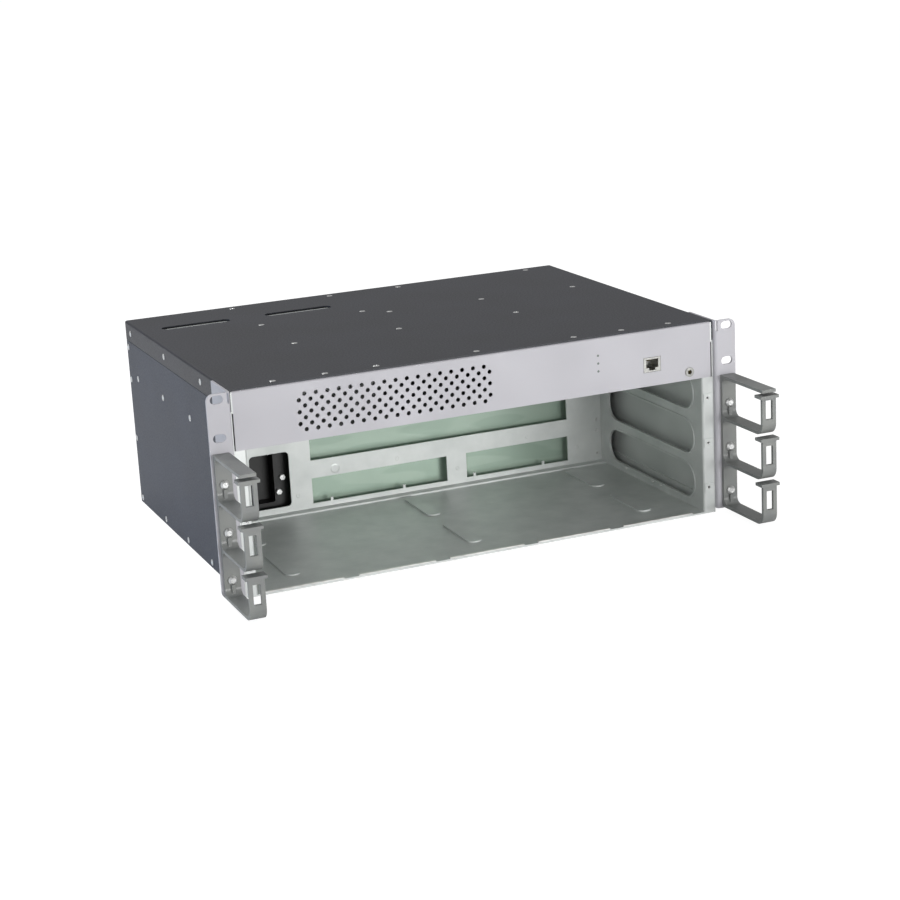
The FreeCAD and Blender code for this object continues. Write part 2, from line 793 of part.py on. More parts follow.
def make_cable_guide(name, side):
    """Moulded comb of four arms; three turn up into bars that keep cables in."""
    body = new_body(name)
    back = ear_front
    base_face = ear_front - guide_base
    nose = ear_front - guide_reach
    bar_back = nose + guide_bar
    inner_bend = guide_bend - guide_bar
    top = guide_arm_z(3)
    corners = [(back, guide_arm_z(0))]
    for number in range(3):
        low = guide_arm_z(number)
        tip = guide_arm_z(number + 1) - guide_mouth - (guide_arm if number == 2 else ZERO)
        corners += [
            (nose, low, guide_bend), (nose, tip), (bar_back, tip),
            (bar_back, low + guide_arm, inner_bend), (base_face, low + guide_arm, guide_gusset)]
        if number < 2:
            corners.append((base_face, guide_arm_z(number + 1), guide_gusset))
    corners += [(base_face, top - guide_arm, guide_gusset), (nose, top - guide_arm),
                (nose, top), (back, top)]
    middle = rack_half * side
    section = profile(body, middle - guide_width / 2, "section")
    outline(section, corners)
    pad(body, section, guide_width)
    for number in range(3):
        tip = guide_arm_z(number + 1) - guide_mouth - (guide_arm if number == 2 else ZERO)
        head = plan(body, tip - guide_head_height, f"head{number}")
        rectangle(head, middle - guide_head_width / 2, middle + guide_head_width / 2,
                  nose - guide_lip, nose + guide_head_depth)
        pad(body, head, guide_head_height)
        rib = elevation(body, base_face, f"rib{number}")
        foot = guide_arm_z(number) + guide_screw_rise - guide_screw_head / 2
        rectangle(rib, middle - guide_rib_width / 2, middle + guide_rib_width / 2,
                  foot - guide_rib_length, foot)
        pad(body, rib, guide_rib_proud)
    tie_slots = elevation(body, nose - guide_lip, "tie_slots")
    for number in range(3):
        centre = guide_arm_z(number) + guide_pitch * 0.56
        rectangle(tie_slots, middle - tie_slot_width / 2, middle + tie_slot_width / 2,
                  centre - tie_slot_length / 2, centre + tie_slot_length / 2)
    pocket(body, tie_slots, guide_lip + guide_bar + guide_lip)
    for number in range(3):
        punch(body, middle, base_face, guide_arm_z(number) + guide_screw_rise,
              guide_screw_hole, guide_base, f"screw_hole{number}")


def make_guide_screws():
    """Pan-head screws that clamp the cable guides to the ears."""
    solids = []
    radius = guide_screw_head.value / 2
    dome = guide_screw_dome.value
    shank = guide_screw_shank.value / 2
    for side in (-1, 1):
        for number in range(3):
            height = (guide_arm_z(number) + guide_screw_rise).value
            solids.append(turned(
                [(shank, shank, guide_base.value), (radius, radius, dome / 2),
                 (radius, radius * 0.6, dome / 2)],
                (rack_half.value * side, ear_front.value, height), (0, -1, 0)))
    group("cable_guide_screws", solids)


# ------------------------------------------------------------------ backplane
def window_floor(number):
    return slot_floor(number) + window_rise + frame_sheet


def make_backplane_plate():
    """Rear wall of the cage: a long window a slot, and one split for two cards."""
    body = new_body("backplane_plate")
    section = profile(body, -cage_half, "section")
    outer = bend_radius + frame_sheet
    outline(section, [
        (plate_front - plate_foot, floor_top), (plate_front + frame_sheet, floor_top, outer),
        (plate_front + frame_sheet, cage_height), (plate_front, cage_height),
        (plate_front, floor_top + frame_sheet, bend_radius),
        (plate_front - plate_foot, floor_top + frame_sheet)])
    pad(body, section, cage_width)
    left = -cage_half + window_left
    right = cage_half - window_right
    split = left + (window_width - window_bar) * WINDOW_SPLIT
    windows = elevation(body, plate_front, "windows")
    for number in range(SLOTS):
        low = window_floor(number)
        if number == 0:
            rectangle(windows, left, split, low, low + window_height)
            rectangle(windows, split + window_bar, right, low, low + window_height)
        else:
            rectangle(windows, left, right, low, low + window_height)
    hole_left = -cage_half + power_hole_left
    rectangle(windows, hole_left, hole_left + power_hole_width,
              power_hole_rise, power_hole_rise + power_hole_height, power_hole_corner)
    pocket(body, windows, frame_sheet)
    lugs = elevation(body, plate_front + frame_sheet, "lugs")
    for number in range(SLOTS + 1):
        middle = left + lug_left + lug_pitch * number
        rectangle(lugs, middle - lug_width / 2, middle + lug_width / 2,
                  window_floor(0), window_floor(0) + lug_height)
    pad(body, lugs, frame_sheet)


def make_backplane_board():
    body = new_body("backplane_board")
    board = elevation(body, plate_front + frame_sheet + board_gap + board_sheet, "board")
    rectangle(board, -cage_half + board_left, cage_half - board_right,
              floor_top + board_edge, cage_height - board_edge)
    pad(body, board, board_sheet)


def make_board_standoffs():
    """Hexagonal spacers between the cage's rear wall and the backplane board."""
    solids = []
    left = -cage_half + window_left - standoff_size * 1.6
    right = cage_half - window_right + standoff_size * 1.6
    for x in (left, right):
        for row in (0, 1):
            z = window_floor(row) + window_height + standoff_size
            radius = standoff_size.value / 2
            solids.append(turned(
                [(radius, radius, board_gap.value)],
                (x.value, (plate_front + frame_sheet).value, z.value), (0, 1, 0), 6))
    group("board_standoffs", solids)


def make_power_terminal():
    """Moulded terminal block behind the power opening, with its two bolts."""
    hole_left = -cage_half + power_hole_left
    hole_right = hole_left + power_hole_width
    face = plate_front + frame_sheet + board_gap
    body = new_body("power_terminal_block")
    block = plan(body, floor_top, "block")
    rectangle(block, hole_left - terminal_margin, hole_right + terminal_margin,
              face, face + terminal_depth)
    pad(body, block, power_hole_rise + power_hole_height + terminal_margin - floor_top)
    recess = elevation(body, face, "recess")
    rectangle(recess, hole_left, hole_right - terminal_pillar,
              power_hole_rise + terminal_margin, power_hole_rise + power_hole_height,
              terminal_margin / 2)
    pocket(body, recess, terminal_recess)
    bolts = []
    for offset, share in ((0.36, 0.5), (0.7, 0.24)):
        spot = ((hole_right - terminal_pillar * offset).value, face.value,
                (power_hole_rise + power_hole_height * share).value)
        radius = bolt_head.value / 2
        bolts.append(turned([(radius, radius, bolt_height.value)], spot, (0, -1, 0), 6))
    group("terminal_bolts", bolts)


# ----------------------------------------------------------- rear compartment
def fan_x(number):
    return fan_pitch * (number - (FANS - 1) / 2)


def make_rear_panel():
    """Rear wall, open for the fan tray below and the two power supplies above."""
    body = new_body("rear_panel")
    section = elevation(body, rear, "section")
    inner = half_width - skin * 2
    rectangle(section, -inner, inner, floor_top, lid_under)
    pad(body, section, frame_sheet)
    cuts = elevation(body, rear - frame_sheet, "openings")
    gap = tray_side_gap
    rectangle(cuts, -tray_half - gap, tray_half + gap, floor_top, tray_top + gap)
    for bay in (0, 1):
        rectangle(cuts, bay_centre(bay) - supply_width / 2 - gap,
                  bay_centre(bay) + supply_width / 2 + gap,
                  ceiling_top, ceiling_top + supply_height + gap)
    pocket(body, cuts, frame_sheet)


def make_fan_tray():
    """Fan tray: rear face with finger grilles, and the sheet the fans stand on."""
    body = new_body("fan_tray")
    section = profile(body, -tray_half, "section")
    outer = bend_radius + frame_sheet
    outline(section, [
        (rear - fan_depth - frame_sheet * 2, floor_top), (rear, floor_top, outer),
        (rear, tray_top), (rear - frame_sheet, tray_top),
        (rear - frame_sheet, tray_floor, bend_radius),
        (rear - fan_depth - frame_sheet * 2, tray_floor)])
    pad(body, section, tray_half * 2)
    grilles = elevation(body, rear - frame_sheet, "grilles")
    first = fan_x(0) - fan_pitch / 4
    length = fan_pitch / 2 - grille_web
    for row in range(GRILLE_ROWS):
        middle = fan_z + grille_step * (row - (GRILLE_ROWS - 1) / 2)
        rectangle(grilles, first - length / 2, first + length / 2,
                  middle - grille_slot / 2, middle + grille_slot / 2)
    cut = pocket(body, grilles, frame_sheet)
    repeat(body, [cut], fan_pitch / 2, FANS * 2)


def make_fan(number):
    """Axial fan: square frame with its motor web, and the bladed rotor."""
    x = fan_x(number)
    z = fan_z
    outlet = rear - frame_sheet
    half = fan_size / 2
    body = new_body(f"fan_frame_{number + 1}")
    shell = elevation(body, outlet, "shell")
    rectangle(shell, x - half, x + half, z - half, z + half)
    circle(shell, x, z, fan_bore)
    pad(body, shell, fan_depth)
    web = elevation(body, outlet, "web")
    hub = fan_hub / 2
    reach = fan_bore / 2 + 0.5
    arm = fan_strut / 2
    outline(web, [
        (x - reach, z - arm), (x - hub, z - arm), (x - hub, z - hub), (x - arm, z - hub),
        (x - arm, z - reach), (x + arm, z - reach), (x + arm, z - hub), (x + hub, z - hub),
        (x + hub, z - arm), (x + reach, z - arm), (x + reach, z + arm), (x + hub, z + arm),
        (x + hub, z + hub), (x + arm, z + hub), (x + arm, z + reach), (x - arm, z + reach),
        (x - arm, z + hub), (x - hub, z + hub), (x - hub, z + arm), (x - reach, z + arm)])
    circle(web, x, z, fan_shaft + fan_shaft_clearance * 2)
    pad(body, web, fan_web)
    corner = half - fan_screw_inset
    for side_x in (-1, 1):
        for side_z in (-1, 1):
            punch(body, x + corner * side_x, outlet - fan_depth, z + corner * side_z,
                  fan_screw_hole, fan_depth, f"screw_hole_{side_x + 1}{side_z + 1}")
    make_rotor(number)


def make_rotor(number):
    """Hub with seven pitched blades and the shaft that runs in the motor web."""
    hub = fan_hub.value / 2
    depth = fan_depth.value - fan_web.value - fan_rotor_gap.value * 2
    lean = math.radians(blade_lean.value)
    chord = (depth - blade_thickness.value) / math.cos(lean)
    sweep = chord / 2 * math.sin(lean) + blade_thickness.value
    tip = math.sqrt((fan_bore.value / 2 - fan_tip_gap.value) ** 2 - sweep ** 2)
    root = hub * 0.6
    blade = Part.makeBox(tip - root, blade_thickness.value, chord)
    blade.translate(FreeCAD.Vector(root, -blade_thickness.value / 2, -chord / 2))
    blade.rotate(FreeCAD.Vector(0, 0, 0), FreeCAD.Vector(1, 0, 0), -blade_lean.value)
    blade.translate(FreeCAD.Vector(0, 0, depth / 2))
    solid = Part.makeCylinder(hub, depth)
    for turn in range(7):
        copy = blade.copy()
        copy.rotate(FreeCAD.Vector(0, 0, 0), FreeCAD.Vector(0, 0, 1), turn * 360 / 7)
        solid = solid.fuse(copy)
    shaft_length = fan_web.value + fan_rotor_gap.value - fan_shaft_recess.value
    shaft = Part.makeCylinder(
        fan_shaft.value / 2, shaft_length, FreeCAD.Vector(0, 0, -shaft_length))
    solid = solid.fuse(shaft).removeSplitter()
    face = (rear - frame_sheet).value - fan_web.value - fan_rotor_gap.value
    item = doc.addObject("Part::Feature", f"fan_rotor_{number + 1}")
    item.Label = f"fan_rotor_{number + 1}"
    turn = FreeCAD.Rotation(FreeCAD.Vector(0, 0, 1), FreeCAD.Vector(0, -1, 0))
    solid.Placement = FreeCAD.Placement(
        FreeCAD.Vector(fan_x(number).value, face, fan_z.value), turn)
    item.Shape = solid
    pieces.append(item)


def make_tray_knobs():
    """Captive knobs that hold the fan tray to the rear wall."""
    solids = []
    radius = knob_size.value / 2
    neck = radius * 0.6
    reach = knob_length.value
    for side in (-1, 1):
        spot = ((tray_half - knob_size).value * side, rear.value, (tray_top - knob_size).value)
        solids.append(turned(
            [(neck, neck, reach / 4), (radius, radius, reach * 3 / 4)], spot, (0, 1, 0)))
    group("tray_knobs", solids)


# -------------------------------------------------------------- upper chamber
def make_power_supply(bay):
    """Slide-in power supply with its mains inlet and pull handle."""
    middle = bay_centre(bay)
    body = new_body(f"power_supply_{bay + 1}")
    half = supply_width / 2
    inlet_x = middle + half - inlet_width / 2 - inlet_margin
    inlet_z = ceiling_top + supply_height / 2
    can = elevation(body, rear, "can")
    rectangle(can, middle - half, middle + half, ceiling_top, ceiling_top + supply_height)
    pad(body, can, supply_depth)
    nest = elevation(body, rear - inlet_depth, "nest")
    rectangle(nest, inlet_x - inlet_width / 2, inlet_x + inlet_width / 2,
              inlet_z - inlet_height / 2, inlet_z + inlet_height / 2)
    pocket(body, nest, inlet_depth)
    vents = elevation(body, rear - supply_vent * 2, "vents")
    vent_x = middle - half + supply_vent * 3
    for row in range(-3, 4):
        z = inlet_z + supply_vent * row
        rectangle(vents, vent_x, vent_x + supply_vent_length,
                  z - supply_vent / 4, z + supply_vent / 4)
    pocket(body, vents, supply_vent * 2)

    inlet = new_body(f"power_inlet_{bay + 1}")
    shell = elevation(inlet, rear, "shell")
    rectangle(shell, inlet_x - inlet_width / 2, inlet_x + inlet_width / 2,
              inlet_z - inlet_height / 2, inlet_z + inlet_height / 2)
    pad(inlet, shell, inlet_depth)
    well = elevation(inlet, rear - inlet_depth + inlet_wall, "well")
    rectangle(well, inlet_x - inlet_width / 2 + inlet_wall, inlet_x + inlet_width / 2 - inlet_wall,
              inlet_z - inlet_height / 2 + inlet_wall, inlet_z + inlet_height / 2 - inlet_wall)
    pocket(inlet, well, inlet_depth - inlet_wall)
    prongs = elevation(inlet, rear - inlet_depth + inlet_wall, "prongs")
    for place, lift in ((-1, -1), (0, 1), (1, -1)):
        prong_x = inlet_x + prong_pitch * place
        prong_z = inlet_z + prong_offset * lift
        rectangle(prongs, prong_x - prong_sheet / 2, prong_x + prong_sheet / 2,
                  prong_z - prong_width / 2, prong_z + prong_width / 2)
    grown = pad(inlet, prongs, inlet_depth - inlet_wall - prong_recess)
    grown.Reversed = True

    handle = new_body(f"supply_handle_{bay + 1}")
    grip_z = ceiling_top + supply_height / 2
    bow = profile(handle, inlet_x - inlet_width / 2 - handle_gap - handle_width, "bow")
    inner = handle_height / 2 - handle_strip
    outer = handle_height / 2
    reach = rear + handle_reach
    outline(bow, [
        (rear, grip_z - outer), (reach, grip_z - outer, handle_bend + handle_strip),
        (reach, grip_z + outer, handle_bend + handle_strip), (rear, grip_z + outer),
        (rear, grip_z + inner), (reach - handle_strip, grip_z + inner, handle_bend),
        (reach - handle_strip, grip_z - inner, handle_bend), (rear, grip_z - inner)])
    pad(handle, bow, handle_width)


def make_bay_divider(number):
    """Upright sheet beside a power bay, folded over under the cover."""
    body = new_body(f"bay_divider_{number + 1}")
    x = bay_centre(number) + bay_pitch / 2 - skin / 2
    section = elevation(body, rear - frame_sheet, "section")
    outline(section, [
        (x, ceiling_top), (x + skin, ceiling_top), (x + skin, lid_under, bend_radius + skin),
        (x - bend_radius - seam_gap, lid_under), (x - bend_radius - seam_gap, lid_under - skin),
        (x, lid_under - skin)])
    pad(body, section, supply_depth)


def make_crosswall():
    """Wall across the upper chamber over the backplane, folded under the cover."""
    body = new_body("chamber_crosswall")
    x0 = bay_centre(1) + bay_pitch / 2 + skin
    x1 = half_width - skin * 2
    face = front + crosswall_setback
    section = profile(body, x0, "section")
    outline(section, [
        (face, ceiling_top), (face + skin, ceiling_top), (face + skin, lid_under, bend_radius + skin),
        (face - fold_under, lid_under), (face - fold_under, lid_under - skin),
        (face, lid_under - skin, bend_radius)])
    pad(body, section, x1 - x0)


def make_control_board():
    """Management board with its network port, light pipes and spacers."""
    x0 = bay_centre(1) + bay_pitch / 2 + control_left
    x1 = cage_half - control_right
    y0 = front + control_setback
    top = port_z()
    body = new_body("control_board")
    board = plan(body, top - board_sheet, "board")
    rectangle(board, x0, x1, y0, y0 + control_depth)
    pad(body, board, board_sheet)
    posts = []
    low = ceiling_top.value
    rise = (top - board_sheet - ceiling_top).value
    radius = standoff_size.value / 2
    inset = standoff_size * 1.5
    for x in (x0 + inset, x1 - inset):
        for y in (y0 + inset, y0 + control_depth - inset):
            posts.append(turned([(radius, radius, rise)], (x.value, y.value, low), (0, 0, 1), 6))
    group("control_board_standoffs", posts)

    jack = new_body("network_jack")
    half = port_width / 2
    shell = elevation(jack, front + jack_depth, "shell")
    rectangle(shell, port_x() - half, port_x() + half, top, top + port_height)
    pad(jack, shell, jack_depth)
    well = elevation(jack, front, "well")
    mouth = jack_mouth / 2
    tab = jack_tab / 2
    outline(well, [
        (port_x() - mouth, top + jack_shoulder), (port_x() - tab, top + jack_shoulder),
        (port_x() - tab, top + jack_sill), (port_x() + tab, top + jack_sill),
        (port_x() + tab, top + jack_shoulder), (port_x() + mouth, top + jack_shoulder),
        (port_x() + mouth, top + jack_mouth_top), (port_x() - mouth, top + jack_mouth_top)])
    pocket(jack, well, jack_well)

    pipes = new_body("status_light_pipes")
    holder = plan(pipes, top, "holder")
    rectangle(holder, light_x() - pipe_width / 2, light_x() + pipe_width / 2, y0, y0 + pipe_depth)
    pad(pipes, holder, light_z(2) + pipe_head - top)
    rods = elevation(pipes, y0, "rods")
    for number in range(3):
        circle(rods, light_x(), light_z(number), light_hole - light_clearance * 2)
    pad(pipes, rods, control_setback)


def make_wrist_jack():
    """Socket for an earthing wrist strap, through the front panel."""
    x = wrist_x().value
    z = wrist_z().value
    radius = wrist_hole.value / 2
    bore = wrist_bore.value / 2
    collar = wrist_collar.value
    reach = wrist_reach.value
    spot = (x, (front + wrist_reach).value, z)
    barrel = turned([(radius, radius, reach), (radius + collar, radius + collar, collar)],
                    spot, (0, -1, 0))
    well = turned([(bore, bore, reach + collar)], spot, (0, -1, 0))
    group("wrist_strap_jack", [barrel.cut(well)])


def make_ground_stud():
    """Earth stud with its nut on the rear wall."""
    x = (half_width - stud_inset).value
    z = (cage_height + chamber_height / 2).value
    nut = turned([(stud_size.value, stud_size.value, stud_nut.value)], (x, rear.value, z), (0, 1, 0), 6)
    stud = Part.makeCylinder(
        stud_size.value / 2, stud_length.value, FreeCAD.Vector(x, rear.value, z),
        FreeCAD.Vector(0, 1, 0))
    group("ground_stud", [nut.fuse(stud)])


# ------------------------------------------------------------------- assembly
make_top_cover()
make_side_panel("left_side_panel", -1)
make_side_panel("right_side_panel", 1)
make_base_tray()
make_gasket_strips()
make_cage_wall("left_cage_wall", -1)
make_cage_wall("right_cage_wall", 1)
make_cage_ceiling()
make_front_panel()
make_ear("left_ear", -1)
make_ear("right_ear", 1)
make_cable_guide("left_cable_guide", -1)
make_cable_guide("right_cable_guide", 1)
make_guide_screws()
make_backplane_plate()
make_backplane_board()
make_board_standoffs()
make_power_terminal()
make_rear_panel()
make_fan_tray()
for fan_number in range(FANS):
    make_fan(fan_number)
make_tray_knobs()
for bay_number in range(2):
    make_power_supply(bay_number)
    make_bay_divider(bay_number)
make_crosswall()
make_control_board()
make_wrist_jack()
make_ground_stud()
doc.recompute()

# ---------------------------------------------------------------- check, write
for item in doc.Objects:
    if "Invalid" in item.State or "Error" in item.State:
        raise RuntimeError(f"{item.Label} failed: {item.State}")
    if item.TypeId in ("PartDesign::Pocket", "PartDesign::SubtractivePrism"):
        before = item.BaseFeature.Shape.Volume
        if item.Shape.Volume >= before - 1e-6:
            raise RuntimeError(f"{item.Label} cuts nothing")
    if item.TypeId == "PartDesign::Pad" and item.BaseFeature is not None:
        if item.Shape.Volume <= item.BaseFeature.Shape.Volume + 1e-6:
            raise RuntimeError(f"{item.Label} adds nothing")

os.makedirs("parts", exist_ok=True)
for piece in pieces:
    shape = piece.Shape
    if shape.isNull() or not shape.isValid() or not shape.Solids:
        raise RuntimeError(f"{piece.Label} has no sound solid")
    shape.exportStep(os.path.join("parts", piece.Label + ".step"))
    print(piece.Label, len(shape.Solids), round(shape.Volume))
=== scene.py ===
import json
import math

import bmesh
import bpy
from mathutils import Matrix, Vector


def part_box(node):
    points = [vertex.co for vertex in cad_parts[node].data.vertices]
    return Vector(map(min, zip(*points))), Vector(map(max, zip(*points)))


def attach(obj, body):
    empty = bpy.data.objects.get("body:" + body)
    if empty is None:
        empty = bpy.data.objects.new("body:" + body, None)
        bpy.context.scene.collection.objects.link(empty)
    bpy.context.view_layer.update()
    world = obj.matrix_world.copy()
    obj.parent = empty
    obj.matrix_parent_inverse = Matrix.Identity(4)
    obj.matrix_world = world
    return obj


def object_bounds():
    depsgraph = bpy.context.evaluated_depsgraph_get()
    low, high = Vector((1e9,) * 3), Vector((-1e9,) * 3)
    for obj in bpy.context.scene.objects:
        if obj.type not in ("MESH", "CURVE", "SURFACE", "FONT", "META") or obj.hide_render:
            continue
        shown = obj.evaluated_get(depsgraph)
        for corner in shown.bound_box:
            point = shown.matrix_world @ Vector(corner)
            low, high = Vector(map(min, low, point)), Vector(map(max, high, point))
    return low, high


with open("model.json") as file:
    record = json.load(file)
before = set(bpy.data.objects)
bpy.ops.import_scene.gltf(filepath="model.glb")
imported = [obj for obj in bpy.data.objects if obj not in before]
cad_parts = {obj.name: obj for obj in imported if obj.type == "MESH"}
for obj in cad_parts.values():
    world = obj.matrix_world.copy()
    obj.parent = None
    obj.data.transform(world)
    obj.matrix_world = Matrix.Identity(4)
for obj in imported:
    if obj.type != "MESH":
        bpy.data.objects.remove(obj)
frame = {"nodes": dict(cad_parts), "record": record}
CAD_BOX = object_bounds()

# The looks of a three-slot rack chassis: coated and plated sheet steel, moulded
# cable guides, circuit boards, and the small screws and contacts that the solids
# leave out. Metres; +X right seen from the front, -Y front, +Z up.

MM = 0.001
NODES = frame["nodes"]
SIDES = ((-1, "left"), (1, "right"))
COVER_LOW, COVER_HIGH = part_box("top_cover")
CHASSIS_FRONT = COVER_LOW.y
CHASSIS_BACK = COVER_HIGH.y


# ------------------------------------------------------------------ materials
ORANGE_PEEL = 1.6          # mm; real orange peel is about 1 mm, drawn a little coarser to show
FILM_DRIFT = 60.0          # mm; how slowly a sprayed coat's thickness wanders
USUAL_NOISE = (0.3, 0.7)   # nearly all of a noise pattern lies between these


def linear(hex_colour):
    """sRGB hex to the linear colour that shaders take."""
    channels = [int(hex_colour[i:i + 2], 16) / 255 for i in (1, 3, 5)]
    return [c / 12.92 if c <= 0.04045 else ((c + 0.055) / 1.055) ** 2.4 for c in channels] + [1.0]


def new_material(name):
    """An empty material, ready for its nodes."""
    made = bpy.data.materials.new(name)
    made.use_nodes = True
    made.node_tree.nodes.clear()
    return made


def add(material, kind, inputs=(), stops=(), **settings):
    """Add one node: inputs are values to set or outputs to link, stops a ramp's places and colours."""
    made = material.node_tree.nodes.new(kind)
    for name, value in settings.items():
        setattr(made, name, value)
    for socket, value in dict(inputs).items():
        if isinstance(value, bpy.types.NodeSocket):
            material.node_tree.links.new(value, made.inputs[socket])
        else:
            made.inputs[socket].default_value = value
    for number, (position, colour) in enumerate(stops):
        made.color_ramp.elements[number].position = position
        made.color_ramp.elements[number].color = linear(colour)
    return made


def grain(material, size_mm, detail=3.0, stretch=(1, 1, 1)):
    """Pattern fixed to the part whose blobs are about that size; a low stretch draws them out."""
    place = add(material, "ShaderNodeTexCoord")
    scaled = add(material, "ShaderNodeMapping", {0: place.outputs["Object"], "Scale": stretch})
    noise = add(material, "ShaderNodeTexNoise", {
        "Vector": scaled.outputs[0], "Scale": 1 / (size_mm * MM), "Detail": detail,
        "Roughness": 0.55})
    return noise.outputs["Fac"]


def past(material, axis, start, both_sides=False):
    """1 past that place along an axis of the part and 0 before it, over a tenth of a millimetre."""
    blend = 0.1 * MM
    place = add(material, "ShaderNodeTexCoord")
    parts = add(material, "ShaderNodeSeparateXYZ", {0: place.outputs["Object"]})
    value = parts.outputs[axis]
    if both_sides:
        value = add(material, "ShaderNodeMath", {0: value}, operation="ABSOLUTE").outputs[0]
    edge = add(material, "ShaderNodeMapRange", {
        "Value": value, "From Min": start - blend / 2, "From Max": start + blend / 2})
    return edge.outputs[0]


def drifting(material, tone_pattern, tones, gloss_pattern, gloss):
    """Colour that wanders between two tones, and roughness between two values, each by a pattern."""
    low, high = USUAL_NOISE
    colour = add(material, "ShaderNodeValToRGB", {"Fac": tone_pattern}, tones)
    roughness = add(material, "ShaderNodeMapRange", {
        "Value": gloss_pattern, "From Min": low, "From Max": high,
        "To Min": gloss[0], "To Max": gloss[1]})
    return {"Base Color": colour.outputs["Color"], "Roughness": roughness.outputs[0]}


def finish_surface(material, inputs, relief=None, relief_mm=0.0, strength=1.0):
    """Close a material with its surface, and with a relief of a real height where one is given."""
    if relief is not None:
        bump = add(material, "ShaderNodeBump", {
            "Height": relief, "Distance": relief_mm * MM, "Strength": strength})
        inputs = {**inputs, "Normal": bump.outputs[0]}
    shader = add(material, "ShaderNodeBsdfPrincipled", inputs)
    add(material, "ShaderNodeOutputMaterial", {"Surface": shader.outputs[0]})
    return material


def powder_coat(name, dark, light, roughness):
    """Sprayed and baked polyester powder: an even satin skin with fine orange peel."""
    made = new_material(name)
    peel = grain(made, ORANGE_PEEL)
    film = grain(made, FILM_DRIFT, 1.0)
    look = drifting(made, film, ((0.35, dark), (0.65, light)),
                    peel, (roughness - 0.05, roughness + 0.05))
    return finish_surface(made, {**look, "IOR": 1.5, "Specular IOR Level": 0.4}, peel, 0.05, 0.5)


def coated_skin():
    """Pre-coated zinc sheet: blue-black powder outside, and bare matt metal on its inner face
    and along its front edge."""
    made = new_material("dark_powder_coat_on_zinc_sheet")
    peel = grain(made, ORANGE_PEEL)
    film = grain(made, FILM_DRIFT, 1.0)
    coat = drifting(made, film, ((0.35, "#1f2838"), (0.65, "#242d3e")), peel, (0.4, 0.5))
    zinc = add(made, "ShaderNodeValToRGB", {"Fac": film}, ((0.3, "#bfc3c1"), (0.7, "#cfd2d0")))
    coated = add(made, "ShaderNodeMath", {
        0: past(made, "X", COVER_HIGH.x - 0.5 * MM, both_sides=True),
        1: past(made, "Y", CHASSIS_FRONT + 0.15 * MM)}, operation="MULTIPLY").outputs[0]
    colour = add(made, "ShaderNodeMix", {
        0: coated, 6: zinc.outputs["Color"], 7: coat["Base Color"]}, data_type="RGBA")
    metallic = add(made, "ShaderNodeMix", {0: coated, 2: 0.35, 3: 0.0})
    roughness = add(made, "ShaderNodeMix", {0: coated, 2: 0.45, 3: coat["Roughness"]})
    return finish_surface(made, {
        "Base Color": colour.outputs[2], "Metallic": metallic.outputs[0],
        "Roughness": roughness.outputs[0], "IOR": 1.5}, peel, 0.05, 0.5)


def zinc_plated_steel():
    """Electro-plated sheet: a grey matt metal with faint clouds and rolling marks."""
    made = new_material("zinc_plated_steel")
    cloud = grain(made, 25.0, 4.0)
    rolled = grain(made, 1.2, 2.0, (0.05, 1, 1))   # marks 24 mm long, drawn wider than real ones
    look = drifting(made, cloud, ((0.3, "#c3c7c5"), (0.7, "#d2d5d3")), rolled, (0.38, 0.5))
    return finish_surface(made, {**look, "Metallic": 0.35}, rolled, 0.01, 0.4)


def bright_zinc():
    """Bright zinc plating on screws and studs: smooth, slightly blue metal."""
    made = new_material("bright_zinc_plating")
    wear = grain(made, 2.0)
    look = drifting(made, wear, ((0.3, "#cfd0d0"), (0.7, "#e6e6e4")), wear, (0.25, 0.38))
    return finish_surface(made, {**look, "Metallic": 0.85})


def spring_strip():
    """Stainless spring strip: rolled bright, with fine scratches along its length."""
    made = new_material("stainless_spring_strip")
    scratch = grain(made, 0.8, 2.0, (0.04, 1, 1))   # 20 mm long, drawn wider than real ones
    look = drifting(made, scratch, ((0.3, "#d9d9d6"), (0.7, "#efefec")), scratch, (0.3, 0.42))
    return finish_surface(made, {**look, "Metallic": 0.7}, scratch, 0.01, 0.5)


def moulded_abs(name, dark, light, roughness):
    """Injection-moulded ABS from a spark-eroded mould: matt, with a soft sheen."""
    made = new_material(name)
    texture = grain(made, 0.9)         # real spark texture is near 0.3 mm; drawn coarser to show
    cloud = grain(made, 18.0, 1.0)
    look = drifting(made, cloud, ((0.35, dark), (0.65, light)),
                    texture, (roughness - 0.07, roughness + 0.07))
    return finish_surface(made, {**look, "IOR": 1.52}, texture, 0.04, 0.6)


def solder_mask():
    """Green solder mask over copper planes: glossy, with the metal below shining through."""
    made = new_material("green_solder_mask_on_copper")
    pour = grain(made, 16.0, 0.0, (0.3, 1, 1.6))    # copper areas, wider than they are high
    colour = add(made, "ShaderNodeValToRGB", {"Fac": pour}, ((0.46, "#a9bdae"), (0.54, "#b2c5b6")))
    return finish_surface(made, {
        "Base Color": colour.outputs["Color"], "Metallic": 0.5, "Roughness": 0.24}, pour, 0.03, 0.4)


def turned_brass():
    """Brass standoffs, turned from bar: a warm metal with fine rings."""
    made = new_material("turned_brass")
    ring = grain(made, 0.6, 2.0, (0.2, 0.2, 1))
    look = drifting(made, ring, ((0.3, "#b9a468"), (0.7, "#cdb97c")), ring, (0.28, 0.4))
    return finish_surface(made, {**look, "Metallic": 1.0})


def gold_plate():
    """Gold flash on spring contacts: smooth yellow metal."""
    made = new_material("gold_plated_contact")
    wear = grain(made, 1.0)
    look = drifting(made, wear, ((0.3, "#d9b45a"), (0.7, "#e6c577")), wear, (0.2, 0.3))
    return finish_surface(made, {**look, "Metallic": 1.0})


def nickel_plate():
    """Nickel plating on a pressed shell or a turned jack: bright, slightly warm metal."""
    made = new_material("nickel_plated_shell")
    wear = grain(made, 3.0)
    look = drifting(made, wear, ((0.3, "#8f8f8c"), (0.7, "#a5a5a1")), wear, (0.28, 0.4))
    return finish_surface(made, {**look, "Metallic": 0.9})


